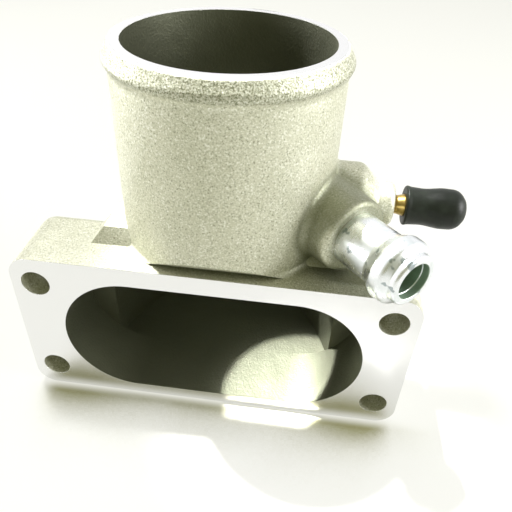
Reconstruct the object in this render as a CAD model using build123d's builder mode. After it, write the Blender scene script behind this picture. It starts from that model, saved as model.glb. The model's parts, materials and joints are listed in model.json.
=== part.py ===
"""Cast aluminium intake elbow with a four-bolt flange, a pressed-in steel hose nipple,
a brass vacuum nipple and the rubber cap that blanks it.

Millimetres.  The origin is the centre of the four bolt holes on the machined flange face.
X runs along the flange, +Y into the elbow away from that face, +Z up the neck.
"""
import os
from math import cos, radians, sin, sqrt, tan

from build123d import *

# Flange, its obround opening and its bolt holes
flange_length = 124.0
flange_height = 54.8
flange_corner_r = 6.5
flange_back_r = 3.5
bolt_end_margin = 7.65      # from the flange's end to the bolt holes' centres
bolt_side_margin = 9.1      # from its long side to them
bolt_hole_r = 4.5
opening_end_margin = 14.05  # from the flange's end to the opening
opening_rim_above = 6.25
opening_rim_below = 4.05
pocket_depth = 22.5
pocket_back_wall = 3.5

# Chamber behind the pocket, measured from the pocket's ends and its depth
wall = 4.0
chamber_inset = 8.75        # from the pocket's end to the chamber's side wall
chamber_mid_inset = 4.6     # the side wall has come in this far ...
chamber_mid_depth = 13.3    # ... at this depth behind the pocket
chamber_turn_inset = 11.6
chamber_turn_depth = 25.3   # the round back starts here
chamber_foot_r = 4.0
shoulder_front_y = 12.0
shoulder_taper = 38.0       # degrees the shoulders lean in from the chamber walls to the neck
shoulder_rise = 13.5
shoulder_drop = 4.4         # the lean starts this far below the flange's top
shoulder_run_y = 3.0        # the shoulders run out on the flange's top here
shoulder_run_slope = 20.5   # degrees

# Neck and its hose bead
neck_axis_y = 31.3
neck_bore_r = 29.0
neck_wall = 4.0
neck_bore_length = 50.0     # from the rim down
elbow_bore_step = 0.5       # the cast bore below the neck's bore is this much wider in radius
neck_root_r = 1.6
rim_z = 86.6
rim_land = 3.2              # flat top of the rim, from the bore outwards
rim_edge_r = 1.0
bead_height = 1.5
bead_drop = 4.2             # from the rim down to the bead's crest
bead_crest_r = 2.0
bead_foot_drop = 7.0
bead_foot_r = 3.0
relief_depth = 4.3          # ledge left on the flange's top by the slanted relief under the neck
sill_wall = 2.7             # from that ledge to the inside of the neck

# Hose boss: a drafted round boss that leaves the neck sideways
boss_start = 12.0           # both bosses start this far out from the neck's axis
boss_root_r = 2.0
hose_axis_z = 40.0
hose_turn = -49.4           # degrees from +X towards -Y
hose_inset = 16.1           # from the neck's outline in to the boss's axis
hose_boss_out = 8.85        # how far its face stands out past the neck's radius
hose_boss_r = 11.4
hose_boss_draft = 2.5       # degrees
hose_rim_r = 1.8

# Steel hose nipple
nipple_r = 8.0
nipple_bore_r = 5.4
nipple_inner_r = 5.1        # past the short counterbore at its mouth
nipple_counterbore = 2.3
nipple_stands_out = 22.5
nipple_seat_depth = 12.0
nipple_way_r = 6.0          # hole drilled from the seat into the neck
nipple_bead_height = 1.7
nipple_bead_at = 5.7        # from the nipple's end back to the bead's crest
nipple_bead_back = 4.9      # length of the bead behind its crest
nipple_bead_front = 3.7     # and in front of it
nipple_lip_drop = 0.4       # the lip is this much smaller in radius than the plain tube
nipple_lip_edge_r = 1.0
press = 0.02                # radial bite of each pressed-in nipple

# Vacuum boss, in line with the neck's axis, its steps measured out past the neck's radius
vacuum_axis_z = 40.0
vacuum_root_r = 12.0
vacuum_root_out = 8.5
vacuum_root_edge_r = 3.5
vacuum_boss_r = 6.8
vacuum_boss_out = 13.8
vacuum_face_out = 18.9
vacuum_rim_r = 1.6

# Brass vacuum nipple, measured out from the boss's face
stem_r = 2.9
stem_seat_depth = 9.0
stem_bore_r = 1.5
stem_neck = 1.2
stem_flare = 2.1
stem_out = 16.1
barb_height = 0.5
stem_tip_drop = 0.8
stem_tip_taper = 2.5

# Rubber cap: lengths measured from its mouth
cap_stand_off = 3.5         # from the boss's face to the cap's mouth
cap_fit_gap = 0.05          # radial, round the barb
cap_floor_gap = 0.6
cap_mouth_wall = 2.7
cap_waist_at = 4.8
cap_waist_wall = 2.25
cap_bulge_at = 12.6
cap_bulge_wall = 2.9
cap_length = 18.6

os.makedirs("parts", exist_ok=True)

flange_top = flange_height / 2
flange_depth = pocket_depth + pocket_back_wall
bolt_spacing_x = flange_length - 2 * bolt_end_margin
bolt_spacing_z = flange_height - 2 * bolt_side_margin
opening_length = flange_length - 2 * opening_end_margin
opening_height = flange_height - opening_rim_above - opening_rim_below
chamber_floor_z = opening_rim_below - flange_top
chamber_roof_z = flange_top - opening_rim_above
opening_z = (chamber_floor_z + chamber_roof_z) / 2
chamber_half_width = opening_length / 2 - chamber_inset
lean_z = flange_top - shoulder_drop
neck_outer_r = neck_bore_r + neck_wall
elbow_bore_r = neck_bore_r + elbow_bore_step
hose_offset = neck_outer_r - hose_inset
bead_r = neck_outer_r + bead_height
bead_z = rim_z - bead_drop
hose_face = neck_outer_r + hose_boss_out
nipple_end = hose_face + nipple_stands_out
vacuum_face = neck_outer_r + vacuum_face_out
barb_r = stem_r + barb_height
stem_tip = vacuum_face + stem_out
cap_mouth = vacuum_face + cap_stand_off
cap_inside_r = barb_r + cap_fit_gap

# Planes whose first axis runs out along a boss and whose second is the radius from its axis
hose_way = Vector(cos(radians(hose_turn)), sin(radians(hose_turn)), 0)
hose_side = Vector(hose_way.Y, -hose_way.X, 0)
hose_root = Vector(0, neck_axis_y, hose_axis_z) - hose_side * hose_offset
hose_axis = Axis(hose_root, hose_way)
hose_section = Plane(origin=hose_root, x_dir=hose_way, z_dir=hose_side)
hose_mouth = Plane(origin=hose_root + hose_way * hose_face, z_dir=hose_way)
vacuum_root = Vector(0, neck_axis_y, vacuum_axis_z)
vacuum_axis = Axis(vacuum_root, (1, 0, 0))
vacuum_section = Plane(origin=vacuum_root, x_dir=(1, 0, 0), z_dir=(0, -1, 0))
vacuum_mouth = Plane(origin=vacuum_root + Vector(vacuum_face, 0, 0), z_dir=(1, 0, 0))
neck_axis = Axis((0, neck_axis_y, 0), (0, 0, 1))
neck_section = Plane(origin=(0, neck_axis_y, 0), x_dir=(1, 0, 0), z_dir=(0, -1, 0))

# Plan of the chamber behind the pocket: straight across its front, round at the back
with BuildSketch() as chamber_plan:
    with BuildLine():
        front = Vector(chamber_half_width, pocket_depth)
        middle = front + Vector(-chamber_mid_inset, chamber_mid_depth)
        turn = front + Vector(-chamber_turn_inset, chamber_turn_depth)
        right = ThreePointArc(front, middle, turn)
        back = TangentArc(turn, (-turn.X, turn.Y), tangent=right % 1)
        left = ThreePointArc(back @ 1, (-middle.X, middle.Y), (-front.X, front.Y))
        Line(left @ 1, front)
    make_face()

# Outside of the chamber, and the shoulders that lean in from it to the neck
with BuildPart() as chamber_outside:
    with BuildSketch(Plane.XY.offset(-flange_top)):
        add(chamber_plan.sketch)
        with Locations((0, pocket_depth)):
            Rectangle(
                2 * chamber_half_width,
                pocket_depth - shoulder_front_y,
                align=(Align.CENTER, Align.MAX),
            )
        offset(amount=wall, kind=Kind.INTERSECTION)
    extrude(amount=lean_z + flange_top)
    fillet(chamber_outside.faces().sort_by(Axis.Z)[0].edges(), radius=chamber_foot_r)
    shoulder_plan = chamber_outside.faces().sort_by(Axis.Z)[-1]
    extrude(shoulder_plan, amount=shoulder_rise, taper=shoulder_taper)

    # The shoulders run out towards the flange's face on a slant
    run_y = flange_length * cos(radians(shoulder_run_slope))
    run_z = flange_length * sin(radians(shoulder_run_slope))
    with BuildSketch(Plane.YZ.offset(-flange_length / 2)):
        with BuildLine():
            Polyline(
                (shoulder_run_y - flange_length, flange_top),
                (shoulder_run_y, flange_top),
                (shoulder_run_y + run_y, flange_top + run_z),
                (shoulder_run_y - flange_length, flange_top + run_z),
                close=True,
            )
        make_face()
    extrude(amount=flange_length, mode=Mode.SUBTRACT)

# Flange block, its back edges rounded as cast
with BuildPart() as flange_outside:
    with BuildSketch(Plane.XZ):
        RectangleRounded(flange_length, flange_height, flange_corner_r)
    extrude(amount=-flange_depth)
    fillet(flange_outside.faces().sort_by(Axis.Y)[-1].edges(), radius=flange_back_r)

# Neck bore and the cast bore below it, less the slanted wall that keeps metal behind the relief
with BuildPart() as neck_bore:
    with BuildSketch(Plane.XY.offset(rim_z)):
        with Locations((0, neck_axis_y)):
            Circle(neck_bore_r)
    extrude(amount=-neck_bore_length)
    with BuildSketch(Plane.XY.offset(opening_z)):
        with Locations((0, neck_axis_y)):
            Circle(elbow_bore_r)
    extrude(amount=rim_z - neck_bore_length - opening_z)
    slope_y = neck_axis_y - elbow_bore_r
    slope_z = flange_top + relief_depth + wall * sqrt(2) - slope_y
    sill_y = relief_depth + sill_wall
    with BuildSketch(Plane.YZ.offset(-neck_outer_r)):
        with BuildLine():
            Polyline(
                (slope_y - wall, slope_z + wall),
                (slope_y - wall, chamber_roof_z),
                (sill_y, chamber_roof_z),
                (sill_y, slope_z - (sill_y - slope_y)),
                close=True,
            )
        make_face()
    extrude(amount=2 * neck_outer_r, mode=Mode.SUBTRACT)

# The casting: neck with its bead, two side bosses, chamber and flange, then every hollow
with BuildPart() as elbow_casting:
    with BuildSketch(neck_section):
        with BuildLine():
            Polyline(
                (0, 0),
                (neck_outer_r, 0),
                (neck_outer_r, rim_z - bead_foot_drop),
                (bead_r, bead_z),
                (neck_bore_r + rim_land, rim_z),
                (0, rim_z),
                close=True,
            )
        make_face()
        fillet(vertices().group_by(Axis.Y)[1], radius=bead_foot_r)
        fillet(vertices().group_by(Axis.Y)[-1].sort_by(Axis.X)[-1], radius=rim_edge_r)
        fillet(vertices().sort_by(Axis.X)[-1], radius=bead_crest_r)
    revolve(axis=neck_axis)

    # Hose boss
    with BuildSketch(hose_section):
        with BuildLine():
            root_r = hose_boss_r + (hose_face - boss_start) * tan(radians(hose_boss_draft))
            Polyline(
                (boss_start, 0),
                (boss_start, root_r),
                (hose_face, hose_boss_r),
                (hose_face, 0),
                close=True,
            )
        make_face()
        fillet(vertices().group_by(Axis.X)[-1].sort_by(Axis.Y)[-1], radius=hose_rim_r)
    revolve(axis=hose_axis)

    # Vacuum boss: a wide root that cones down to a short round boss
    with BuildSketch(vacuum_section):
        with BuildLine():
            Polyline(
                (boss_start, 0),
                (boss_start, vacuum_root_r),
                (neck_outer_r + vacuum_root_out, vacuum_root_r),
                (neck_outer_r + vacuum_boss_out, vacuum_boss_r),
                (vacuum_face, vacuum_boss_r),
                (vacuum_face, 0),
                close=True,
            )
        make_face()
        fillet(vertices().group_by(Axis.X)[-1].sort_by(Axis.Y)[-1], radius=vacuum_rim_r)
        fillet(vertices().group_by(Axis.Y)[-1].sort_by(Axis.X)[-1], radius=vacuum_root_edge_r)
    revolve(axis=vacuum_axis)
    fillet(elbow_casting.edges().filter_by(GeomType.BSPLINE), radius=boss_root_r)

    # Flared root where the neck stands on the flange
    with BuildSketch(neck_section):
        with BuildLine():
            root_centre = (neck_outer_r + neck_root_r, flange_top + neck_root_r)
            root = CenterArc(root_centre, neck_root_r, start_angle=180, arc_size=90)
            Polyline(
                root @ 1,
                (root_centre[0], 0),
                (neck_bore_r, 0),
                (neck_bore_r, root_centre[1]),
                root @ 0,
            )
        make_face()
    revolve(axis=neck_axis)

    add(chamber_outside.part)
    add(flange_outside.part)

    # Relief that frees the flange's face from the neck above it
    with BuildSketch(Plane.YZ.offset(-flange_length / 2)):
        with BuildLine():
            Polyline(
                (-relief_depth, -flange_height),
                (0, -flange_height),
                (0, flange_top),
                (relief_depth, flange_top),
                (-relief_depth, flange_top + 2 * relief_depth),
                close=True,
            )
        make_face()
    extrude(amount=flange_length, mode=Mode.SUBTRACT)

    # Pocket, chamber and neck bore
    with BuildSketch(Plane.XZ):
        with Locations((0, opening_z)):
            SlotOverall(opening_length, opening_height)
    extrude(amount=-pocket_depth, mode=Mode.SUBTRACT)
    with BuildSketch(Plane.XY.offset(chamber_floor_z)):
        add(chamber_plan.sketch)
    extrude(amount=opening_height, mode=Mode.SUBTRACT)
    add(neck_bore.part, mode=Mode.SUBTRACT)

    # Bolt holes
    with BuildSketch(Plane.XZ):
        with GridLocations(bolt_spacing_x, bolt_spacing_z, 2, 2):
            Circle(bolt_hole_r)
    extrude(amount=-flange_depth, mode=Mode.SUBTRACT)

    # Seats for the two pressed-in nipples, and the ways from them into the neck
    for mouth, seat_r, seat_depth, way_r, face in (
        (hose_mouth, nipple_r, nipple_seat_depth, nipple_way_r, hose_face),
        (vacuum_mouth, stem_r, stem_seat_depth, stem_bore_r, vacuum_face),
    ):
        with BuildSketch(mouth):
            Circle(seat_r)
        extrude(amount=-seat_depth, mode=Mode.SUBTRACT)
        with BuildSketch(mouth):
            Circle(way_r)
        extrude(amount=boss_start - face, mode=Mode.SUBTRACT)

elbow_casting.part.label = "elbow_casting"
export_step(elbow_casting.part, "parts/elbow_casting.step")

# Steel hose nipple: pressed into its boss, a hose bead and a rounded lip at its free end
with BuildPart() as hose_nipple:
    with BuildSketch(hose_section):
        with BuildLine():
            seat_end = hose_face - nipple_seat_depth
            counterbore_end = nipple_end - nipple_counterbore
            crest = nipple_end - nipple_bead_at
            lip_r = nipple_r - nipple_lip_drop
            Polyline(
                (counterbore_end, nipple_inner_r),
                (seat_end, nipple_inner_r),
                (seat_end, nipple_r + press),
                (hose_face, nipple_r + press),
                (hose_face, nipple_r),
                (crest - nipple_bead_back, nipple_r),
            )
            Spline(
                (crest - nipple_bead_back, nipple_r),
                (crest, nipple_r + nipple_bead_height),
                (crest + nipple_bead_front, lip_r),
                tangents=((1.0, 0.55), (0.35, -1.0)),
            )
            Polyline(
                (crest + nipple_bead_front, lip_r),
                (nipple_end, lip_r),
                (nipple_end, nipple_bore_r),
                (counterbore_end, nipple_bore_r),
                (counterbore_end, nipple_inner_r),
            )
        make_face()
    revolve(axis=hose_axis)
    mouth_edges = hose_nipple.faces().sort_by(hose_axis)[-1].edges()
    fillet(mouth_edges.sort_by(SortBy.RADIUS)[-1], radius=nipple_lip_edge_r)

hose_nipple.part.label = "hose_nipple"
export_step(hose_nipple.part, "parts/hose_nipple.step")

# Brass vacuum nipple: a plain neck, then the barb that holds the cap
with BuildPart() as vacuum_nipple:
    with BuildSketch(vacuum_section):
        with BuildLine():
            seat_end = vacuum_face - stem_seat_depth
            Polyline(
                (seat_end, stem_bore_r),
                (seat_end, stem_r + press),
                (vacuum_face, stem_r + press),
                (vacuum_face, stem_r),
                (vacuum_face + stem_neck, stem_r),
                (vacuum_face + stem_neck + stem_flare, barb_r),
                (stem_tip - stem_tip_taper, barb_r),
                (stem_tip, barb_r - stem_tip_drop),
                (stem_tip, stem_bore_r),
                close=True,
            )
        make_face()
    revolve(axis=vacuum_axis)

vacuum_nipple.part.label = "vacuum_nipple"
export_step(vacuum_nipple.part, "parts/vacuum_nipple.step")

# Rubber cap: a waisted skirt and a round nose over the nipple
with BuildPart() as vacuum_cap:
    with BuildSketch(vacuum_section):
        with BuildLine():
            cap_floor = stem_tip + cap_floor_gap
            bulge_x = cap_mouth + cap_bulge_at
            bulge_r = cap_inside_r + cap_bulge_wall
            mouth_r = cap_inside_r + cap_mouth_wall
            Polyline(
                (cap_mouth + cap_length, 0),
                (cap_floor, 0),
                (cap_floor, cap_inside_r),
                (cap_mouth, cap_inside_r),
                (cap_mouth, mouth_r),
            )
            Spline(
                (cap_mouth, mouth_r),
                (cap_mouth + cap_waist_at, cap_inside_r + cap_waist_wall),
                (bulge_x, bulge_r),
                tangents=((1.0, -0.18), (1.0, 0.0)),
            )
            EllipticalCenterArc(
                (bulge_x, 0), cap_length - cap_bulge_at, bulge_r, start_angle=0, arc_size=90
            )
        make_face()
    revolve(axis=vacuum_axis)

vacuum_cap.part.label = "vacuum_cap"
export_step(vacuum_cap.part, "parts/vacuum_cap.step")
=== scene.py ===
"""Finished look of a cast intake elbow: its casting, two pressed-in nipples and the rubber cap.

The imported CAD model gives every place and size.  Lengths are in metres unless a name ends in _mm.
"""

import json
from math import atan2, pi, radians

import bmesh
import bpy
from bpy.props import FloatProperty, FloatVectorProperty, PointerProperty
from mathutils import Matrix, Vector


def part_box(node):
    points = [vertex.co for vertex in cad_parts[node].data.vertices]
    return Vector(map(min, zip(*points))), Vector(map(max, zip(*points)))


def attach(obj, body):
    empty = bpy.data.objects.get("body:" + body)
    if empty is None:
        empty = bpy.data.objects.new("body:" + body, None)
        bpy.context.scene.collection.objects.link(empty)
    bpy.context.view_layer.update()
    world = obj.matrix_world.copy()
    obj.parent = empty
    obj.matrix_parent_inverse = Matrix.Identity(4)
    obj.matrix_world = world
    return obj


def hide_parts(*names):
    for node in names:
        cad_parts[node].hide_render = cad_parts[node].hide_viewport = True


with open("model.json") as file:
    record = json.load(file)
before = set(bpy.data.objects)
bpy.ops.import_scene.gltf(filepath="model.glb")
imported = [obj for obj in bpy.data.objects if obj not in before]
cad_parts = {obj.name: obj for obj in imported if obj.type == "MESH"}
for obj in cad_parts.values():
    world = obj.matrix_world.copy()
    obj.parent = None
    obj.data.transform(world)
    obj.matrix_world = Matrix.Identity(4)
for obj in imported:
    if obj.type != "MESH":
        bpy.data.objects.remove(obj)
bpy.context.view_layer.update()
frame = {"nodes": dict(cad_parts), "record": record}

bl_info = {
    "name": "Cast intake elbow",
    "version": (1, 0, 0),
    "blender": (4, 5, 0),
    "location": "View3D > Sidebar > Intake elbow",
    "description": "Finishes the casting, the nipples and the cap of an intake elbow",
    "category": "Object",
}

MM = 0.001
PER_MM = 1000.0
WHITE = (1.0, 1.0, 1.0)
NECK_WAY = Vector((0.0, 0.0, 1.0))

# Meshes
JOIN_GAP = 2e-6                  # points closer than this become one
WELD_GAP = 1e-7                  # after the bevel, points closer than this become one
LEVEL_GAP = 1e-5                 # a point this close to a plane lies on it
FLAT_ANGLE = radians(0.02)       # faces that differ less are one flat face
BREAK_ANGLE = radians(30)        # only sharper machined edges are broken
SHARP_ANGLE = radians(32)        # sharper edges of a turned piece stay crisp
BREAK_SEGMENTS = 2
BREAK_MATERIAL = 1               # marks the faces that the bevel makes
ROUND_STEPS = 6

# Air passage of the casting, in millimetres
NECK_FOOT_MM = 6.3               # so far below the flange's top the neck gives way to the chamber
NECK_OUT_MM = 1.0                # the neck's passage lies within its bore and this much more
SLANT_MM = 6.3                   # a 45 degree plane in the metal behind the relief, over the flange's top
LEDGE_LOOK = 0.9                 # a face whose normal rises more than this is a ledge and no wall
PASSAGE_DEPTH_MM = 12.0          # behind the flange's face: the point that pocket and chamber walls look at
PASSAGE_DROP_MM = 30.7           # the same point, below the middle of the casting's height
POCKET_HALF_MM = 48.5            # just past the pocket's ends
POCKET_FRONT_MM = 0.3            # just behind the flange's face

# Finishes of the casting, in millimetres: from where a mask is 0 to where it is 1
BEAD_FOOT_MM = (6.3, 5.2)        # below the rim
BEAD_TOP_MM = (0.25, 0.7)
RIM_FADE_MM = (0.12, 0.04)
BEAD_OUT_MM = (2.0, 2.6)         # outside the neck's bore
FACE_FADE_MM = (0.16, 0.02)      # from the flange's face
FACE_TOP_MM = (0.3, 0.0)         # above the flange's top
HOLE_FADE_MM = (0.4, 0.1)        # outside a bolt hole
# Painted shade round the root of the hose boss
ROOT_SHADE_OUT_MM = (16.5, 12.5)       # from the hose nipple's axis
ROOT_SHADE_BACK_MM = (-30.0, -24.0)    # along that axis
ROOT_SHADE_FRONT_MM = (4.0, 6.0)       # behind the flange's face
# Painted shade in corners, from how much open sky a point sees
CORNER_SHADE_REACH = 0.011
CORNER_SHADE_SAMPLES = 8
CORNER_SHADE_FADE = (0.50, 0.18)       # share of open sky

# Relief of the casting: height of each pattern in millimetres
GRAIN_HIGH_MM = 0.10
PEBBLES_HIGH_MM = 0.05
WAVES_HIGH_MM = 0.35
COARSE_HIGH_MM = 0.12
FACE_MARKS_HIGH_MM = 0.002

# Tone of the casting: noise levels from where a mark is 0 to where it is 1, and its share
SPARKLE_FADE, SPARKLE_SHARE = (0.52, 0.68), 0.65
PIT_FADE, PIT_SHARE = (0.46, 0.30), 0.7
GLINT_FADE, GLINT_SHARE = (0.54, 0.64), 0.35
STAIN_FADE, STAIN_SHARE = (0.35, 0.7), 0.35
HOLLOW_FADE = (0.50, 0.38)
BEAD_DARK_BASE = 0.35                 # darker tone on the bead between its hollows
GRAIN_ROUGH = 0.3
SPARKLE_SMOOTH = 0.1

# Zinc, brass and rubber: what each pattern adds to the roughness, and its height in millimetres
ZINC_ROUGH = 0.16
ZINC_CLOUD_ROUGH, ZINC_CLOUD_HIGH_MM = 0.12, 0.05
ZINC_RINGS_ROUGH, ZINC_RINGS_HIGH_MM = 0.08, 0.006
ZINC_SPOTS_ROUGH, ZINC_SPOTS_HIGH_MM = 0.05, 0.006
ZINC_MOUTH_ROUGH = 0.3
ZINC_CLOUD_FADE = (0.4, 0.65)
# Painted dark reflections on the zinc, placed at random
ZINC_DARK_REFLECTION_FADE, ZINC_DARK_REFLECTION_SHARE = (0.60, 0.68), 0.7
BRASS_ROUGH = 0.22
BRASS_RINGS_ROUGH, BRASS_RINGS_HIGH_MM = 0.2, 0.02
BRASS_CLOUD_FADE = (0.4, 0.7)
RUBBER_ROUGH = 0.38
RUBBER_SPECULAR = 0.3
RUBBER_DUST_ROUGH, RUBBER_DUST_HIGH_MM = 0.2, 0.01
RUBBER_PORES_ROUGH, RUBBER_PORES_HIGH_MM = 0.08, 0.03
RUBBER_DUST_FADE, RUBBER_DUST_SHARE = (0.45, 0.75), 0.5

# Hose nipple, in millimetres
MOUTH_DEPTH_MM = 2.3
MOUTH_STEP_MM = 0.3              # the mouth's radius over the bore's
MOUTH_FADE_MM = (0.45, 0.35)     # outside the bore: where the mouth's finish is 0 and 1
STEP_FADE_MM = (0.15, 0.05)      # from the step at the mouth's bottom, which stays bright
TUBE_CREST_MM = 5.7              # from the tube's end back to its bead
TUBE_LIP_MM = 0.4                # the tube's radius over its lip's
TUBE_SEGMENTS = 128

# Vacuum nipple and its cap, in millimetres
STEM_FACE_MM = 9.0               # from the stub's hidden end to the boss's face
GROOVE_DEPTH_MM = 0.14
BARB_HEIGHT_MM = 0.5
BARB_TAPER_MM = 2.5
BARB_TIP_MM = 0.8                # the barb's radius over its tip's
CAP_FLOOR_MM = 4.6               # thickness of the cap's closed end
NOSE_FLAT_MM = 3.1
STEM_SEGMENTS = 96

# Stage
LIGHT_WAY = Vector((34.5, -29.8, -110.0)).normalized()
LAMP_REACH = 0.95
RIGHT_LAMP = Vector((0.55, -0.06, 0.20))
LEFT_LAMP = Vector((-0.55, 0.04, 0.04))
SIDE_SIZE = 0.35
RIGHT_SHARE = 1.4                # power of the right lamp over the left one's
SPOT_BLEND = 0.1
SPOT_SOFTNESS = 0.03
FLOOR_RADIUS = 3.0
FLOOR_SEGMENTS = 96
SHADE_REACH = 0.07
SHADE_SAMPLES = 16
SHADE_FADE = (0.88, 0.58)        # share of open sky
LEE_FRONT_MM = (2.0, -4.0)       # from the flange's face
LEE_LEFT_MM = (-4.0, 8.0)        # from the casting's left end
SENSOR_MM = 36.0
NEAR_CLIP = 0.005

mounts = {mount["name"]: mount for mount in frame["record"]["mounts"]}
body_of = {node: body for body, nodes in frame["record"]["behaviour"]["bodies"].items() for node in nodes}
casting_low, casting_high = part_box("elbow_casting")
flange_top = -casting_low.z      # the flange stands as far above z = 0 as below it
neck_place = Vector(mounts["neck_bore"]["pos_m"])
neck_bore_mm = mounts["neck_bore"]["dims"]["r_mm"]
hose_place = Vector(mounts["hose_nipple_bore"]["pos_m"])
hose_way = Vector(mounts["hose_nipple_bore"]["axis"])
vacuum_place = Vector(mounts["vacuum_hose_seat"]["pos_m"])
vacuum_way = Vector(mounts["vacuum_hose_seat"]["axis"])


# ---------------------------------------------------------------- node trees

class Value:
    """One socket of a node tree, for use in Python arithmetic: each operator adds a Math node."""

    def __init__(self, nodes, socket):
        self.nodes = nodes
        self.socket = socket

    def __add__(self, other):
        return self.nodes.maths("ADD", self, other)

    __radd__ = __add__

    def __sub__(self, other):
        return self.nodes.maths("SUBTRACT", self, other)

    def __rsub__(self, other):
        return self.nodes.maths("SUBTRACT", other, self)

    def __mul__(self, other):
        return self.nodes.maths("MULTIPLY", self, other)

    __rmul__ = __mul__

    def __truediv__(self, other):
        return self.nodes.maths("DIVIDE", self, other)

    def __abs__(self):
        return self.nodes.maths("ABSOLUTE", self)


class Nodes:
    """Writes one node tree.  add() takes a node's type, its settings and its sockets."""

    def __init__(self, tree):
        self.tree = tree
        tree.nodes.clear()

    def add(self, kind, settings=None, sockets=None):
        node = self.tree.nodes.new(kind)
        for name, setting in (settings or {}).items():
            setattr(node, name, setting)
        for name, value in (sockets or {}).items():
            self.feed(node.inputs[name], value)
        return node

    def feed(self, socket, value):
        if isinstance(value, Value):
            self.tree.links.new(value.socket, socket)
        else:
            socket.default_value = value

    def get(self, kind, output, settings=None, sockets=None):
        """Adds a node and returns one of its outputs."""
        return Value(self, self.add(kind, settings, sockets).outputs[output])

    def maths(self, operation, *values):
        return self.get("ShaderNodeMath", 0, {"operation": operation}, dict(enumerate(values)))

    def vector(self, operation, *values, scale=None):
        sockets = dict(enumerate(values))
        if scale is not None:
            sockets["Scale"] = scale
        output = "Value" if operation in ("LENGTH", "DOT_PRODUCT", "DISTANCE") else "Vector"
        return self.get("ShaderNodeVectorMath", output, {"operation": operation}, sockets)

    def mix(self, factor, low, high):
        """Mix of two colours; the sockets are picked by number, since three kinds share their names."""
        sockets = {0: factor, 6: low, 7: high}
        return self.get("ShaderNodeMix", 2, {"data_type": "RGBA"}, sockets)

    def ramp(self, value, low, high):
        """Smooth step from 0 to 1 as value goes from low to high."""
        sockets = {"Value": value, "From Min": low, "From Max": high}
        return self.get("ShaderNodeMapRange", 0, {"interpolation_type": "SMOOTHSTEP"}, sockets)

    def noise(self, place, size_mm, detail=2.0, roughness=0.5):
        sockets = {"Vector": place, "Scale": 1.0 / size_mm, "Detail": detail, "Roughness": roughness}
        return self.get("ShaderNodeTexNoise", 0, {"noise_dimensions": "3D"}, sockets)

    def cells(self, place, size_mm):
        sockets = {"Vector": place, "Scale": 1.0 / size_mm}
        return self.get("ShaderNodeTexVoronoi", "Distance", None, sockets)

    def on_axis(self, place, start, way):
        """How far a place lies along an axis and off it, in millimetres."""
        from_start = self.vector("SUBTRACT", place, tuple(start * PER_MM))
        along = self.vector("DOT_PRODUCT", from_start, tuple(way))
        foot = self.vector("SCALE", tuple(way), scale=along)
        return along, self.vector("DISTANCE", from_start, foot)


def colour(rgb):
    return (*rgb, 1.0)


def new_material(name):
    material = bpy.data.materials.new(name)
    material.use_nodes = True
    return material, Nodes(material.node_tree)


def place_in_mm(nodes):
    """Object coordinates in millimetres, and their three parts."""
    place = nodes.vector("SCALE", nodes.get("ShaderNodeTexCoord", "Object"), scale=PER_MM)
    parts = nodes.add("ShaderNodeSeparateXYZ", None, {0: place})
    return place, [Value(nodes, output) for output in parts.outputs]


def finish_surface(nodes, sockets, height_mm):
    """Principled shader from its sockets, with a relief in millimetres."""
    bump = {"Height": height_mm, "Distance": MM, "Strength": 1.0}
    sockets["Normal"] = nodes.get("ShaderNodeBump", "Normal", None, bump)
    shader = nodes.get("ShaderNodeBsdfPrincipled", "BSDF", None, sockets)
    nodes.add("ShaderNodeOutputMaterial", None, {"Surface": shader})


# ---------------------------------------------------------------- materials

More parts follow.
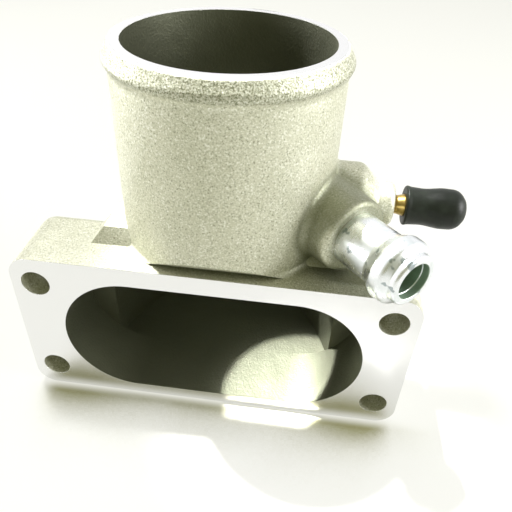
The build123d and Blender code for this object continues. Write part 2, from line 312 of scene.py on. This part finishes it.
def cast_aluminium(look):
    """Sand-cast skin, coarser on the neck's bead, with a machined flange face and rim, and painted shade in
    its corners, round the hose boss and in the air passage.
    """
    material, nodes = new_material("cast_aluminium")
    place, (x, y, z) = place_in_mm(nodes)

    # Where each finish and each painted shade lies
    _, neck_radius = nodes.on_axis(place, neck_place, NECK_WAY)
    below_rim = casting_high.z * PER_MM - z
    bead = nodes.ramp(below_rim, *BEAD_FOOT_MM) * nodes.ramp(below_rim, *BEAD_TOP_MM)
    bead = bead * nodes.ramp(neck_radius - neck_bore_mm, *BEAD_OUT_MM)
    face = nodes.ramp(abs(y), *FACE_FADE_MM) * nodes.ramp(z - flange_top * PER_MM, *FACE_TOP_MM)
    machined = nodes.maths("MAXIMUM", face, nodes.ramp(below_rim, *RIM_FADE_MM))
    # The air passage's colour is soot from use and painted shade of the dark interior
    inside = nodes.get("ShaderNodeAttribute", "Fac", {"attribute_name": "inside"})
    # Painted shade in corners: darker where a point sees little open sky
    open_sky = nodes.get("ShaderNodeAmbientOcclusion", "AO", {"samples": CORNER_SHADE_SAMPLES},
                         {"Distance": CORNER_SHADE_REACH})
    corner = nodes.ramp(open_sky, *CORNER_SHADE_FADE)
    bolts = mounts["flange_bolts"]["dims"]
    from_hole = nodes.get("ShaderNodeCombineXYZ", 0, None, {
        0: abs(x) - bolts["spacing_x_mm"] / 2, 1: abs(z) - bolts["spacing_y_mm"] / 2})
    bored = nodes.ramp(nodes.vector("LENGTH", from_hole) - bolts["hole_r_mm"], *HOLE_FADE_MM)
    # Painted shade round the root of the hose boss
    along_hose, hose_radius = nodes.on_axis(place, hose_place, hose_way)
    root = nodes.ramp(hose_radius, *ROOT_SHADE_OUT_MM) * nodes.ramp(y, *ROOT_SHADE_FRONT_MM)
    root = root * nodes.ramp(along_hose, *ROOT_SHADE_BACK_MM)

    # Relief: fine sand grain, pebbles and slow waves, and a coarser grain on the bead
    grain = nodes.noise(place, size_mm=0.55, detail=3.0, roughness=0.65)
    pebbles = nodes.cells(place, size_mm=0.9)
    waves = nodes.noise(place, size_mm=9.0, detail=1.0)
    coarse = nodes.noise(place, size_mm=1.1, roughness=0.6)
    face_marks = nodes.noise(place, size_mm=3.0)
    skin = grain * GRAIN_HIGH_MM + pebbles * PEBBLES_HIGH_MM + waves * WAVES_HIGH_MM
    skin = skin + bead * coarse * COARSE_HIGH_MM
    height = skin * (1.0 - machined) + face_marks * FACE_MARKS_HIGH_MM * machined

    # Tone: stains, bright grains and dark pits, then painted shade round the hose root and in corners, a
    # darker bead with its glints, and last what is machined or inside, where soot and painted shade darken
    # the air passage
    speckle = nodes.noise(place, size_mm=0.5, roughness=0.7)
    sparkle = nodes.ramp(speckle, *SPARKLE_FADE)
    pits = nodes.ramp(speckle, *PIT_FADE)
    lumps = nodes.noise(place, size_mm=0.45, roughness=0.65)
    glints = nodes.ramp(lumps, *GLINT_FADE)
    hollows = nodes.ramp(lumps, *HOLLOW_FADE)
    stain = nodes.ramp(nodes.noise(place, size_mm=14.0, detail=3.0), *STAIN_FADE)
    tone = colour(look.cast_colour)
    for share, layer in (
            (stain * STAIN_SHARE, look.stain_colour),
            (sparkle * SPARKLE_SHARE, look.sparkle_colour),
            (pits * PIT_SHARE, look.dirt_and_shade_colour),
            # Painted shade round the hose root and in corners
            (root * look.root_shade * (1.0 - inside), look.dirt_and_shade_colour),
            (corner * look.corner_shade * (1.0 - bored), look.dirt_and_shade_colour),
            (bead * look.bead_darkening * (BEAD_DARK_BASE + hollows), look.dirt_and_shade_colour),
            (bead * glints * GLINT_SHARE, look.sparkle_colour),
            (machined, look.machined_colour),
            (inside, look.inside_soot_and_shade)):
        tone = nodes.mix(share, tone, colour(layer))

    rough = look.cast_roughness + (grain - 0.5) * GRAIN_ROUGH - sparkle * SPARKLE_SMOOTH
    rough = rough * (1.0 - machined) + machined * look.machined_roughness
    metal = look.cast_metallic + machined * (1.0 - look.cast_metallic)
    finish_surface(nodes, {"Base Color": tone, "Metallic": metal, "Roughness": rough}, height)
    return material


def bright_zinc(look):
    """Zinc plate on a rolled tube: faint rings, clouds, small painted dark reflections placed at random, and
    a dull mouth with painted shade.
    """
    material, nodes = new_material("bright_zinc")
    place, _ = place_in_mm(nodes)
    along, radius = nodes.on_axis(place, hose_place, hose_way)
    _, end = reach("hose_nipple", hose_place, hose_way)
    step = nodes.ramp(abs(along - (end - MOUTH_DEPTH_MM)), *STEP_FADE_MM)
    mouth = nodes.ramp(radius - look.tube_bore * PER_MM / 2, *MOUTH_FADE_MM) * (1.0 - step)

    rings = nodes.noise(nodes.get("ShaderNodeCombineXYZ", 0, None, {0: along}), size_mm=0.5, detail=4.0)
    cloud = nodes.noise(place, size_mm=4.5, detail=3.0)
    spots = nodes.noise(place, size_mm=1.2)
    # Painted dark reflections, placed at random
    dark_reflections = nodes.ramp(nodes.noise(place, size_mm=3.2), *ZINC_DARK_REFLECTION_FADE)
    tone = nodes.mix(nodes.ramp(cloud, *ZINC_CLOUD_FADE), colour(look.zinc_colour), colour(look.zinc_cloud))
    tone = nodes.mix(dark_reflections * ZINC_DARK_REFLECTION_SHARE, tone, colour(look.zinc_dark_reflection))
    # Inside the tube's mouth: duller plating, with painted green shade
    tone = nodes.mix(mouth, tone, colour(look.mouth_plating_and_shade))
    rough = ZINC_ROUGH + cloud * ZINC_CLOUD_ROUGH + rings * ZINC_RINGS_ROUGH
    rough = rough + spots * ZINC_SPOTS_ROUGH + mouth * ZINC_MOUTH_ROUGH
    height = rings * ZINC_RINGS_HIGH_MM + cloud * ZINC_CLOUD_HIGH_MM + spots * ZINC_SPOTS_HIGH_MM
    finish_surface(nodes, {"Base Color": tone, "Metallic": 1.0, "Roughness": rough}, height)
    return material


def turned_brass(look):
    """Brass with fine turning rings."""
    material, nodes = new_material("turned_brass")
    place, (x, _, _) = place_in_mm(nodes)
    rings = nodes.noise(nodes.get("ShaderNodeCombineXYZ", 0, None, {0: x}), size_mm=0.25)
    cloud = nodes.ramp(nodes.noise(place, size_mm=2.0, detail=3.0), *BRASS_CLOUD_FADE)
    tone = nodes.mix(cloud, colour(look.brass_colour), colour(look.brass_shade))
    rough = BRASS_ROUGH + rings * BRASS_RINGS_ROUGH
    height = rings * BRASS_RINGS_HIGH_MM
    finish_surface(nodes, {"Base Color": tone, "Metallic": 1.0, "Roughness": rough}, height)
    return material


def moulded_rubber(look):
    """Satin black rubber with dusty patches."""
    material, nodes = new_material("moulded_rubber")
    place, _ = place_in_mm(nodes)
    dust = nodes.ramp(nodes.noise(place, size_mm=3.5, detail=4.0, roughness=0.6), *RUBBER_DUST_FADE)
    pores = nodes.noise(place, size_mm=0.5)
    tone = nodes.mix(dust * RUBBER_DUST_SHARE, colour(look.rubber_colour), colour(look.rubber_dust))
    rough = RUBBER_ROUGH + dust * RUBBER_DUST_ROUGH + pores * RUBBER_PORES_ROUGH
    height = pores * RUBBER_PORES_HIGH_MM + dust * RUBBER_DUST_HIGH_MM
    sockets = {"Base Color": tone, "Roughness": rough, "Specular IOR Level": RUBBER_SPECULAR}
    finish_surface(nodes, sockets, height)
    return material


# ---------------------------------------------------------------- shapes

def show_instead(name, mesh, node, material):
    """Puts a finished mesh in place of a CAD node, on the same body, with the given material in its one slot.
    """
    piece = bpy.data.objects.new(name, mesh)
    bpy.context.scene.collection.objects.link(piece)
    mesh.materials.clear()
    mesh.materials.append(material)
    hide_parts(node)
    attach(piece, body_of[node])
    return piece


def merged_copy(node):
    """A CAD node's mesh with its loose triangles joined and its flat faces made whole.

    Its true surface normals are kept on the face corners under the name true_normal.
    """
    mesh = frame["nodes"][node].data.copy()
    normals = mesh.attributes.new("true_normal", "FLOAT_VECTOR", "CORNER")
    for item, corner in zip(normals.data, mesh.corner_normals):
        item.vector = corner.vector
    shell = bmesh.new()
    shell.from_mesh(mesh)
    bpy.data.meshes.remove(mesh)
    bmesh.ops.remove_doubles(shell, verts=shell.verts, dist=JOIN_GAP)
    bmesh.ops.dissolve_limit(shell, angle_limit=FLAT_ANGLE, verts=shell.verts, edges=shell.edges)
    return shell


def restore_normals(mesh):
    """Gives a mesh back its true normals, except on the faces that the bevel made."""
    mesh.shade_smooth()
    kept = [item.vector.copy() for item in mesh.attributes["true_normal"].data]
    for face in mesh.polygons:
        if face.material_index == BREAK_MATERIAL:
            for corner in face.loop_indices:
                kept[corner] = mesh.corner_normals[corner].vector.copy()
            face.material_index = 0
    mesh.attributes.remove(mesh.attributes["true_normal"])
    mesh.normals_split_custom_set([normal.normalized() for normal in kept])


def mark_passage(mesh):
    """Marks the faces of the air passage with inside = 1, from where they lie and which way they face."""
    middle_z = (casting_low.z + casting_high.z) / 2
    passage_middle = Vector((0.0, PASSAGE_DEPTH_MM * MM, middle_z - PASSAGE_DROP_MM * MM))
    marks = mesh.attributes.new("inside", "FLOAT", "FACE")
    for face, mark in zip(mesh.polygons, marks.data):
        x, y, z = face.center
        if z > flange_top - NECK_FOOT_MM * MM:
            from_neck = Vector((x, y - neck_place.y)).length
            within = from_neck < (neck_bore_mm + NECK_OUT_MM) * MM and y + z > flange_top + SLANT_MM * MM
            mark.value = float(within and face.normal.z <= LEDGE_LOOK)
        else:
            within = abs(x) < POCKET_HALF_MM * MM and y > POCKET_FRONT_MM * MM
            mark.value = float(within and face.normal.dot(passage_middle - face.center) > 0)


def on_plane(edge, axis, level):
    return all(abs(vertex.co[axis] - level) < LEVEL_GAP for vertex in edge.verts)


def plain_mesh(piece, name):
    """The piece's evaluated mesh, with its modifiers spent."""
    graph = bpy.context.evaluated_depsgraph_get()
    mesh = bpy.data.meshes.new_from_object(piece.evaluated_get(graph))
    mesh.name = name
    bpy.data.objects.remove(piece)
    return mesh


def mend(mesh, step):
    """Runs one step of bmesh work on a mesh, and makes sure that it leaves the mesh closed."""
    shell = bmesh.new()
    shell.from_mesh(mesh)
    step(shell)
    if any(len(edge.link_faces) != 2 for edge in shell.edges):
        raise RuntimeError(mesh.name + " is not closed")
    shell.to_mesh(mesh)
    shell.free()


def weld(shell):
    """Joins points that lie on one another."""
    bmesh.ops.remove_doubles(shell, verts=shell.verts, dist=WELD_GAP)


def face_outwards(shell):
    bmesh.ops.recalc_face_normals(shell, faces=shell.faces)


TURNED_INPUTS = (
    ("Profile", "NodeSocketGeometry"),
    ("Place", "NodeSocketVector"),
    ("Turn", "NodeSocketRotation"),
    ("Segments", "NodeSocketInt"),
    ("Round steps", "NodeSocketInt"),
    ("Material", "NodeSocketMaterial"),
)


def turned_tree():
    """Geometry nodes that turn a profile curve about its own X axis.

    The curve's points are (distance along, radius), and each point's radius rounds its corner.
    """
    tree = bpy.data.node_groups.new("turned_piece", "GeometryNodeTree")
    for name, kind in TURNED_INPUTS:
        tree.interface.new_socket(name, in_out="INPUT", socket_type=kind)
    tree.interface.new_socket("Geometry", in_out="OUTPUT", socket_type="NodeSocketGeometry")
    nodes = Nodes(tree)
    given = nodes.add("NodeGroupInput")
    inputs = {name: Value(nodes, given.outputs[name]) for name, _ in TURNED_INPUTS}

    rounded = nodes.get("GeometryNodeFilletCurve", "Curve", {"mode": "POLY"}, {
        "Curve": inputs["Profile"], "Count": inputs["Round steps"],
        "Radius": nodes.get("GeometryNodeInputRadius", 0), "Limit Radius": True})
    columns = nodes.get("GeometryNodeAttributeDomainSize", "Point Count", {"component": "CURVE"},
                        {0: rounded})
    rows = inputs["Segments"] + 1.0
    net = nodes.get("GeometryNodeMeshGrid", "Mesh", None, {"Vertices X": columns, "Vertices Y": rows})

    # Grid points are numbered row by row: each run of rows is one profile point taken all round
    number = nodes.get("GeometryNodeInputIndex", 0)
    step = nodes.maths("FLOOR", (number + 0.5) / rows)
    angle = (number - step * rows) * (2 * pi) / inputs["Segments"]
    point = nodes.get("GeometryNodeSampleIndex", 0, {"data_type": "FLOAT_VECTOR", "domain": "POINT"}, {
        "Geometry": rounded, "Value": nodes.get("GeometryNodeInputPosition", 0), "Index": step})
    parts = nodes.add("ShaderNodeSeparateXYZ", None, {0: point})
    along, out = Value(nodes, parts.outputs[0]), Value(nodes, parts.outputs[1])
    spot = nodes.get("ShaderNodeCombineXYZ", 0, None, {
        0: along, 1: out * nodes.maths("COSINE", angle), 2: out * nodes.maths("SINE", angle)})
    skin = nodes.get("GeometryNodeSetPosition", 0, None, {"Geometry": net, "Position": spot})
    skin = nodes.get("GeometryNodeMergeByDistance", 0, None, {"Geometry": skin, "Distance": JOIN_GAP})
    skin = nodes.get("GeometryNodeTransform", 0, None, {
        "Geometry": skin, "Translation": inputs["Place"], "Rotation": inputs["Turn"]})
    skin = nodes.get("GeometryNodeRealizeInstances", 0, None, {"Geometry": skin})
    skin = nodes.get("GeometryNodeSetMaterial", 0, None, {"Geometry": skin, "Material": inputs["Material"]})
    nodes.add("NodeGroupOutput", None, {"Geometry": skin})
    return tree


def turned_piece(name, node, profile, place, way, segments, material):
    """Turns a profile of (along, radius, rounding) points in millimetres and shows it for a CAD node."""
    curve = bpy.data.curves.new(name + "_profile", "CURVE")
    curve.dimensions = "3D"
    spline = curve.splines.new("POLY")
    spline.points.add(len(profile) - 1)
    for point, (along, radius, rounding) in zip(spline.points, profile):
        point.co = (along * MM, radius * MM, 0.0, 1.0)
        point.radius = rounding * MM
    draft = bpy.data.objects.new(name + "_draft", curve)
    bpy.context.scene.collection.objects.link(draft)
    modifier = draft.modifiers.new("turned piece", "NODES")
    modifier.node_group = bpy.data.node_groups.get("turned_piece") or turned_tree()
    identifiers = {item.name: item.identifier for item in modifier.node_group.interface.items_tree
                   if item.in_out == "INPUT"}
    modifier[identifiers["Place"]] = place
    modifier[identifiers["Turn"]] = (0.0, 0.0, atan2(way.y, way.x))
    modifier[identifiers["Segments"]] = segments
    modifier[identifiers["Round steps"]] = ROUND_STEPS
    modifier[identifiers["Material"]] = material
    mesh = plain_mesh(draft, name)
    mend(mesh, face_outwards)
    mesh.shade_smooth()
    mesh.set_sharp_from_angle(angle=SHARP_ANGLE)
    return show_instead(name, mesh, node, material)


def reach(node, place, way):
    """How far a CAD node reaches along a way, measured from a place, in millimetres."""
    marks = [(vertex.co - place).dot(way) * PER_MM for vertex in frame["nodes"][node].data.vertices]
    return min(marks), max(marks)


# ---------------------------------------------------------------- settings

def colour_setting(name, description, default):
    return FloatVectorProperty(name=name, description=description, default=default, subtype="COLOR")


def length_setting(name, description, default):
    return FloatProperty(name=name, description=description, default=default, unit="LENGTH")


def share_setting(name, description, default):
    return FloatProperty(name=name, description=description, default=default)


def power_setting(name, description, default):
    return FloatProperty(name=name, description=description, default=default, unit="POWER")


class ElbowLook(bpy.types.PropertyGroup):
    """Sizes and colours of the finished surfaces."""

    edge_break: length_setting("Edge break", "Width of the broken machined edges", 0.0003)
    cast_colour: colour_setting("Cast colour", "Dull skin of the casting", (0.60, 0.60, 0.485))
    stain_colour: colour_setting("Stain colour", "Slow stains on the casting", (0.48, 0.485, 0.365))
    sparkle_colour: colour_setting("Sparkle colour", "Bright grains of the casting", (0.92, 0.92, 0.88))
    machined_colour: colour_setting("Machined colour", "Milled flange face and rim", (0.84, 0.84, 0.84))
    # Air passage: soot from use and painted shade of the dark interior
    inside_soot_and_shade: colour_setting("Inside colour", "Air passage, dulled by use", (0.115, 0.12, 0.082))
    # Dark pits and the darker bead, and the colour of the painted shade in corners and round the hose boss
    dirt_and_shade_colour: colour_setting("Dirt colour", "Dull film in corners, on the bead and at the root",
                                (0.16, 0.17, 0.10))
    # Share of the darker tone on the bead, deepest in its noise hollows
    bead_darkening: share_setting("Bead dirt", "Share of the film on the bead", 0.65)
    # Share of the painted shade in corners
    corner_shade: share_setting("Corner dirt", "Share of the film in the corners", 0.6)
    # Share of the painted shade round the hose boss
    root_shade: share_setting("Root dirt", "Share of the film round the hose boss", 0.7)
    cast_metallic: share_setting("Cast metallic", "Metal share of the cast skin", 0.65)
    cast_roughness: share_setting("Cast roughness", "Roughness of the cast skin", 0.52)
    machined_roughness: share_setting("Machined roughness", "Roughness of the flange face and rim", 0.22)
    zinc_colour: colour_setting("Zinc colour", "Plated hose nipple", (0.90, 0.92, 0.94))
    zinc_cloud: colour_setting("Zinc cloud", "Duller clouds in the plating", (0.78, 0.82, 0.83))
    # Painted dark reflections on the plating
    zinc_dark_reflection: colour_setting("Zinc blot", "Small dark spots in the plating", (0.20, 0.26, 0.27))
    # Inside the tube: duller plating, with painted green shade
    mouth_plating_and_shade: colour_setting("Mouth colour", "Dull plating inside the tube", (0.32, 0.42, 0.32))
    brass_colour: colour_setting("Brass colour", "Vacuum nipple", (0.46, 0.33, 0.10))
    brass_shade: colour_setting("Brass shade", "Tarnish on the vacuum nipple", (0.30, 0.21, 0.06))
    tube_diameter: length_setting("Tube diameter", "Outside of the hose nipple", 0.016)
    tube_bore: length_setting("Tube bore", "Inside of the hose nipple", 0.0102)
    tube_bead: length_setting("Tube bead", "Height of the rolled bead", 0.0017)
    stem_diameter: length_setting("Stem diameter", "Outside of the vacuum nipple", 0.0058)
    stem_bore: length_setting("Stem bore", "Inside of the vacuum nipple", 0.003)
    cap_diameter: length_setting("Cap diameter", "Outside of the rubber cap", 0.0127)
    cap_bore: length_setting("Cap bore", "Inside of the rubber cap", 0.0069)
    rubber_colour: colour_setting("Rubber colour", "Cap", (0.007, 0.010, 0.006))
    rubber_dust: colour_setting("Rubber dust", "Dusty patches on the cap", (0.020, 0.028, 0.018))


class ElbowStage(bpy.types.PropertyGroup):
    """Camera, floor, lamps and even light."""

    camera_place: FloatVectorProperty(
        name="Camera place", description="Where the camera stands",
        default=(0.02324, -0.11726, 0.12815), unit="LENGTH")
    camera_turn: FloatVectorProperty(
        name="Camera turn", description="Camera rotation", subtype="EULER",
        default=(radians(52.49), radians(-2.38), radians(6.90)))
    lens: share_setting("Lens", "Focal length on a 36 mm sensor, in millimetres", 37.96)
    floor_colour: colour_setting("Floor colour", "Paper under the part", (0.93, 0.93, 0.915))
    floor_shade: colour_setting("Floor shade", "Paper close to the part, on the side away from the main lamp",
                      (0.30, 0.29, 0.15))
    floor_glow: share_setting("Floor glow", "Share of plain white in the paper", 0.74)
    glow_colour: colour_setting("Glow colour", "White of the paper", (1.0, 1.0, 0.98))
    key_power: power_setting("Key power", "Main lamp", 5.0)
    key_size: length_setting("Key size", "Diameter of the main lamp", 0.12)
    spot_power: power_setting("Spot power", "Narrow lamp down the neck", 430.0)
    spot_angle: FloatProperty(
        name="Spot angle", description="Full cone of the narrow lamp", default=radians(3.35), subtype="ANGLE")
    side_power: power_setting("Side power", "Soft lamp on the left", 2.4)
    sky_strength: share_setting("Sky strength", "Even light from all round", 0.40)
    sky_colour: colour_setting("Sky colour", "Tint of the even light", (1.0, 1.0, 0.50))
    dim_way: FloatVectorProperty(
        name="Dim side", description="Way to the unlit end of the studio", default=(0.05, -0.92, 0.39),
        subtype="DIRECTION")
    dim_colour: colour_setting("Dim colour", "Tint of the unlit end", (1.0, 1.0, 0.5))
    dim_strength: share_setting("Dim strength", "Light from the unlit end", 0.40)
    dim_edge: share_setting("Dim edge", "Cosine where the unlit end starts", 0.45)
    dim_core: share_setting("Dim core", "Cosine inside which it is fully dim", 0.90)


# ---------------------------------------------------------------- operators

class ELBOW_OT_casting(bpy.types.Operator):
    """Make the casting: merged CAD copy with broken machined edges"""

    bl_idname = "elbow.casting"
    bl_label = "Casting"

    def execute(self, context):
        look = context.scene.elbow_look
        shell = merged_copy("elbow_casting")
        weight = shell.edges.layers.float.new("bevel_weight_edge")
        for edge in shell.edges:
            machined = on_plane(edge, 1, casting_low.y) or on_plane(edge, 2, casting_high.z)
            if machined and edge.calc_face_angle() > BREAK_ANGLE:
                edge[weight] = 1.0
        mesh = bpy.data.meshes.new("elbow_casting_shell")
        shell.to_mesh(mesh)
        shell.free()
        draft = bpy.data.objects.new("casting_draft", mesh)
        context.scene.collection.objects.link(draft)
        bevel = draft.modifiers.new("broken edges", "BEVEL")
        bevel.limit_method = "WEIGHT"
        bevel.width = look.edge_break
        bevel.segments = BREAK_SEGMENTS
        bevel.material = BREAK_MATERIAL
        bevel.use_clamp_overlap = False
        mesh = plain_mesh(draft, "casting_body")
        mend(mesh, weld)
        restore_normals(mesh)
        mark_passage(mesh)
        show_instead("casting_body", mesh, "elbow_casting", cast_aluminium(look))
        return {"FINISHED"}


class ELBOW_OT_hose_nipple(bpy.types.Operator):
    """Make the plated hose nipple: a tube with a rolled bead, a rounded lip and a counterbore"""

    bl_idname = "elbow.hose_nipple"
    bl_label = "Hose nipple"

    def execute(self, context):
        look = context.scene.elbow_look
        tube = look.tube_diameter * PER_MM / 2
        bore = look.tube_bore * PER_MM / 2
        mouth = bore + MOUTH_STEP_MM
        lip = tube - TUBE_LIP_MM
        bead = tube + look.tube_bead * PER_MM
        start, end = reach("hose_nipple", hose_place, hose_way)
        crest = end - TUBE_CREST_MM
        profile = (
            (start, bore, 0.0),
            (start, tube, 0.3),
            (crest - 5.3, tube, 1.6),
            (crest - 4.3, tube + 0.28, 0.9),
            (crest - 1.5, bead + 0.12, 1.5),
            (crest + 1.9, bead + 0.02, 1.9),
            (crest + 3.5, lip, 0.5),
            (end, lip, 1.1),
            (end, mouth, 0.35),
            (end - MOUTH_DEPTH_MM, mouth, 0.05),
            (end - MOUTH_DEPTH_MM, bore, 0.12),
            (start, bore, 0.0),
        )
        turned_piece("hose_tube", "hose_nipple", profile, hose_place, hose_way, TUBE_SEGMENTS,
                     bright_zinc(look))
        return {"FINISHED"}


class ELBOW_OT_vacuum_nipple(bpy.types.Operator):
    """Make the brass vacuum nipple: a short neck with a groove, a flare and a barb"""

    bl_idname = "elbow.vacuum_nipple"
    bl_label = "Vacuum nipple"

    def execute(self, context):
        look = context.scene.elbow_look
        stem = look.stem_diameter * PER_MM / 2
        bore = look.stem_bore * PER_MM / 2
        groove = stem - GROOVE_DEPTH_MM
        barb = stem + BARB_HEIGHT_MM
        start, end = reach("vacuum_nipple", vacuum_place, vacuum_way)
        face = start + STEM_FACE_MM
        profile = (
            (start, bore, 0.0),
            (start, stem, 0.2),
            (face + 0.25, stem, 0.0),
            (face + 0.35, groove, 0.05),
            (face + 0.75, groove, 0.05),
            (face + 0.85, stem, 0.05),
            (face + 1.3, stem, 0.4),
            (face + 3.3, barb, 0.4),
            (end - BARB_TAPER_MM, barb, 0.3),
            (end, barb - BARB_TIP_MM, 0.2),
            (end, bore, 0.1),
            (start, bore, 0.0),
        )
        turned_piece("brass_stub", "vacuum_nipple", profile, vacuum_place, vacuum_way, STEM_SEGMENTS,
                     turned_brass(look))
        return {"FINISHED"}


class ELBOW_OT_vacuum_cap(bpy.types.Operator):
    """Make the rubber cap: a rolled lip, a waisted skirt and a round nose"""

    bl_idname = "elbow.vacuum_cap"
    bl_label = "Vacuum cap"

    def execute(self, context):
        look = context.scene.elbow_look
        inside = look.cap_bore * PER_MM / 2
        nose = look.cap_diameter * PER_MM / 2
        start, end = reach("vacuum_cap", vacuum_place, vacuum_way)
        floor = end - CAP_FLOOR_MM
        profile = (
            (end, 0.0, 0.0),
            (end, NOSE_FLAT_MM, 3.0),
            (end - 2.4, nose - 0.15, 4.2),
            (start + 11.0, nose, 12.0),
            (start + 6.0, nose - 0.75, 14.0),
            (start + 1.6, nose - 0.45, 3.0),
            (start + 0.7, nose - 0.2, 0.5),
            (start, nose - 0.2, 0.55),
            (start, inside, 0.5),
            (floor, inside, 0.8),
            (floor, 0.0, 0.0),
        )
        turned_piece("rubber_cap", "vacuum_cap", profile, vacuum_place, vacuum_way, STEM_SEGMENTS,
                     moulded_rubber(look))
        return {"FINISHED"}


class ELBOW_OT_stage(bpy.types.Operator):
    """Make the floor, the lamps, the even light and the camera"""

    bl_idname = "elbow.stage"
    bl_label = "Stage"

    def execute(self, context):
        stage = context.scene.elbow_stage
        scene = context.scene
        scene.view_settings.view_transform = "Standard"
        lay_floor(stage)

        centre = (casting_low + casting_high) / 2
        add_lamp("key", centre - LIGHT_WAY * LAMP_REACH, centre, stage.key_size, stage.key_power)
        neck_rim = neck_place + Vector((0.0, 0.0, casting_high.z - neck_place.z))
        add_spot("overhead", neck_rim, LIGHT_WAY, stage.spot_angle, stage.spot_power)
        add_lamp("right", centre + RIGHT_LAMP, centre, SIDE_SIZE, stage.side_power * RIGHT_SHARE)
        add_lamp("left", centre + LEFT_LAMP, centre, SIDE_SIZE, stage.side_power)
        light_studio(stage)

        camera_data = bpy.data.cameras.new("camera")
        camera_data.lens = stage.lens
        camera_data.sensor_width = SENSOR_MM
        camera_data.clip_start = NEAR_CLIP
        camera = bpy.data.objects.new("camera", camera_data)
        camera.location = stage.camera_place
        camera.rotation_euler = stage.camera_turn
        scene.collection.objects.link(camera)
        scene.camera = camera
        return {"FINISHED"}


def lay_floor(stage):
    """Pale paper: mostly plain white to the eye, and darker close to the part, away from the main lamp."""
    mesh = bpy.data.meshes.new("floor")
    shell = bmesh.new()
    bmesh.ops.create_circle(shell, cap_ends=True, segments=FLOOR_SEGMENTS, radius=FLOOR_RADIUS)
    shell.to_mesh(mesh)
    shell.free()
    floor = bpy.data.objects.new("floor", mesh)
    floor.location.z = casting_low.z
    bpy.context.scene.collection.objects.link(floor)

    material, nodes = new_material("paper")
    _, (x, y, _) = place_in_mm(nodes)
    lee = nodes.ramp(y, *LEE_FRONT_MM) * nodes.ramp(x - casting_low.x * PER_MM, *LEE_LEFT_MM)
    nearby = nodes.get("ShaderNodeAmbientOcclusion", "AO", {"samples": SHADE_SAMPLES},
                       {"Distance": SHADE_REACH})
    clear = 1.0 - nodes.ramp(nearby, *SHADE_FADE) * lee
    tone = nodes.mix(clear, colour(stage.floor_shade), colour(stage.floor_colour))
    paper = nodes.get("ShaderNodeBsdfDiffuse", 0, None, {"Color": tone})
    glow = nodes.get("ShaderNodeEmission", 0, None, {"Color": colour(stage.glow_colour)})
    direct, glossy = kinds_of_ray(nodes)
    seen = nodes.maths("MAXIMUM", direct, glossy)
    shown = nodes.get("ShaderNodeMixShader", 0, None, {0: seen * clear * stage.floor_glow, 1: paper, 2: glow})
    nodes.add("ShaderNodeOutputMaterial", None, {"Surface": shown})
    mesh.materials.append(material)


def light_studio(stage):
    """World: white to the eye, tinted fill as it falls, and in mirrors white with one unlit end."""
    world = bpy.data.worlds.new("studio")
    world.use_nodes = True
    bpy.context.scene.world = world
    nodes = Nodes(world.node_tree)
    direct, glossy = kinds_of_ray(nodes)
    way = nodes.get("ShaderNodeTexCoord", "Generated")
    facing = nodes.vector("DOT_PRODUCT", way, tuple(Vector(stage.dim_way).normalized()))
    dim = nodes.ramp(facing, stage.dim_edge, stage.dim_core) * (1.0 - stage.dim_strength)
    strength = direct + (1.0 - direct) * (glossy * (1.0 - dim) + (1.0 - glossy) * stage.sky_strength)
    mirrored = nodes.mix(dim, colour(WHITE), colour(stage.dim_colour))
    falling = nodes.mix(glossy, colour(stage.sky_colour), mirrored)
    shade = nodes.mix(direct, falling, colour(WHITE))
    sky = nodes.get("ShaderNodeBackground", 0, None, {"Color": shade, "Strength": strength})
    nodes.add("ShaderNodeOutputWorld", None, {"Surface": sky})


def kinds_of_ray(nodes):
    """1 for what the camera sees straight or through glass, and 1 for what it sees in a mirror surface."""
    path = nodes.add("ShaderNodeLightPath")
    camera, glossy, transmission = (
        Value(nodes, path.outputs[f"Is {kind} Ray"]) for kind in ("Camera", "Glossy", "Transmission"))
    return nodes.maths("MAXIMUM", camera, transmission), glossy


def add_lamp(name, place, target, size, power):
    """A round soft lamp that faces the target."""
    lamp = bpy.data.lights.new(name, "AREA")
    lamp.shape = "DISK"
    lamp.size = size
    lamp.energy = power
    holder = bpy.data.objects.new(name, lamp)
    holder.location = place
    holder.rotation_euler = (target - place).to_track_quat("-Z", "Y").to_euler()
    bpy.context.scene.collection.objects.link(holder)


def add_spot(name, target, way, angle, power):
    """A narrow lamp that shines along a way onto the target, from as far as the main lamp."""
    lamp = bpy.data.lights.new(name, "SPOT")
    lamp.spot_size = angle
    lamp.spot_blend = SPOT_BLEND
    lamp.shadow_soft_size = SPOT_SOFTNESS
    lamp.energy = power
    holder = bpy.data.objects.new(name, lamp)
    holder.location = target - way * LAMP_REACH
    holder.rotation_euler = way.to_track_quat("-Z", "Y").to_euler()
    bpy.context.scene.collection.objects.link(holder)


class ELBOW_PT_panel(bpy.types.Panel):
    bl_label = "Intake elbow"
    bl_space_type = "VIEW_3D"
    bl_region_type = "UI"
    bl_category = "Intake elbow"

    def draw(self, context):
        for group in (context.scene.elbow_look, context.scene.elbow_stage):
            for name in group.bl_rna.properties.keys():
                if name not in ("rna_type", "name"):
                    self.layout.prop(group, name)
        for step in STEPS:
            self.layout.operator(step.bl_idname)


STEPS = (ELBOW_OT_casting, ELBOW_OT_hose_nipple, ELBOW_OT_vacuum_nipple, ELBOW_OT_vacuum_cap, ELBOW_OT_stage)
CLASSES = (ElbowLook, ElbowStage, *STEPS, ELBOW_PT_panel)


def register():
    for item in CLASSES:
        bpy.utils.register_class(item)
    bpy.types.Scene.elbow_look = PointerProperty(type=ElbowLook)
    bpy.types.Scene.elbow_stage = PointerProperty(type=ElbowStage)


def unregister():
    del bpy.types.Scene.elbow_look
    del bpy.types.Scene.elbow_stage
    for item in reversed(CLASSES):
        bpy.utils.unregister_class(item)


def main():
    register()
    bpy.ops.elbow.casting()
    bpy.ops.elbow.hose_nipple()
    bpy.ops.elbow.vacuum_nipple()
    bpy.ops.elbow.vacuum_cap()
    bpy.ops.elbow.stage()


if __name__ == "__main__":
    main()
